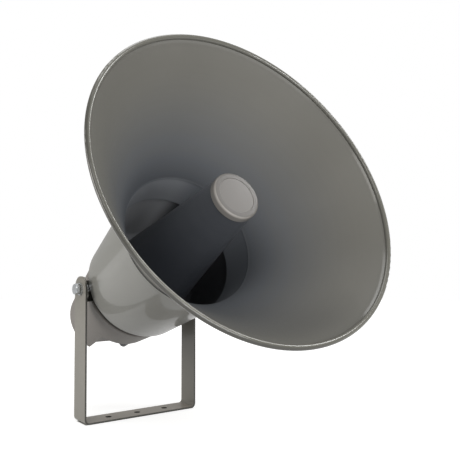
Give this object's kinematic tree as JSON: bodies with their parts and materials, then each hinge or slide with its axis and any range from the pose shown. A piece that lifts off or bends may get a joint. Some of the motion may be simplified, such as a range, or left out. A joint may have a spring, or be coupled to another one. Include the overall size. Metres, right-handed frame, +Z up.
{
  "type": "pa horn speaker",
  "caption": "Reflex horn loudspeaker: wide flared mouth, inner reflector cone with round cap, rear bell and driver cover, hung by pivot bolts in a U-shaped strap bracket.",
  "frame": {"origin": "underside of the bracket's base, at the middle of its centre hole", "axes": "+Z up, away from the base; X along the pivot axis; the mouth faces -Y and tilts up"},
  "size_m": [0.506, 0.6238, 0.6217],
  "materials": {
    "bracket_paint": "satin",
    "flare_paint": "satin paint",
    "bell_plastic": "gloss",
    "cover_plastic": "fine texture",
    "reflector_paint": "satin paint",
    "cap_plastic": "satin",
    "tube_plastic": "satin",
    "zinc": "bright zinc",
    "dark_steel": "oiled",
    "casting": "cast, dark",
    "ferrite": "matte",
    "core_steel": "laminated",
    "copper": "enamelled",
    "film": "moulded film",
    "black_plastic": "matte",
    "gland_plastic": "satin",
    "rubber": "matte"
  },
  "bodies": {
    "bracket": {"u_bracket": "bracket_paint", "friction_washers": "rubber"},
    "horn": {"ear_strap": "dark_steel", "clinch_nuts": "zinc", "pivot_bolts": "zinc", "flat_washers": "zinc", "spring_washers": "dark_steel", "rear_bell": "bell_plastic", "outer_flare": "flare_paint", "reflector": "reflector_paint", "reflector_cap": "cap_plastic", "centre_tube": "tube_plastic", "reflector_stays": "reflector_paint", "stay_screws": "zinc", "reflector_rivets": "zinc", "tube_screws": "zinc", "support_plate": "dark_steel", "bell_gasket": "rubber", "driver_adaptor": "casting", "driver_gasket": "rubber", "driver_top_plate": "zinc", "driver_magnet": "ferrite", "driver_pole": "zinc", "driver_screws": "zinc", "diaphragm": "film", "voice_coil": "copper", "transformer_frame": "zinc", "transformer_core": "core_steel", "transformer_coil": "copper", "frame_screws": "zinc", "terminal_block": "black_plastic", "terminal_screws": "zinc", "cover_pillars": "zinc", "rear_cover": "cover_plastic", "cover_gasket": "rubber", "cover_screws": "zinc", "cover_seals": "rubber", "cable_gland": "gland_plastic", "gland_locknut": "gland_plastic", "gland_seal": "rubber"}
  },
  "joints": [
    {"name": "tilt", "type": "hinge", "parent": "bracket", "child": "horn", "pos_m": [0, 0, 0.227], "axis": [1, 0, 0], "range_deg": [-60, 21]}
  ]
}
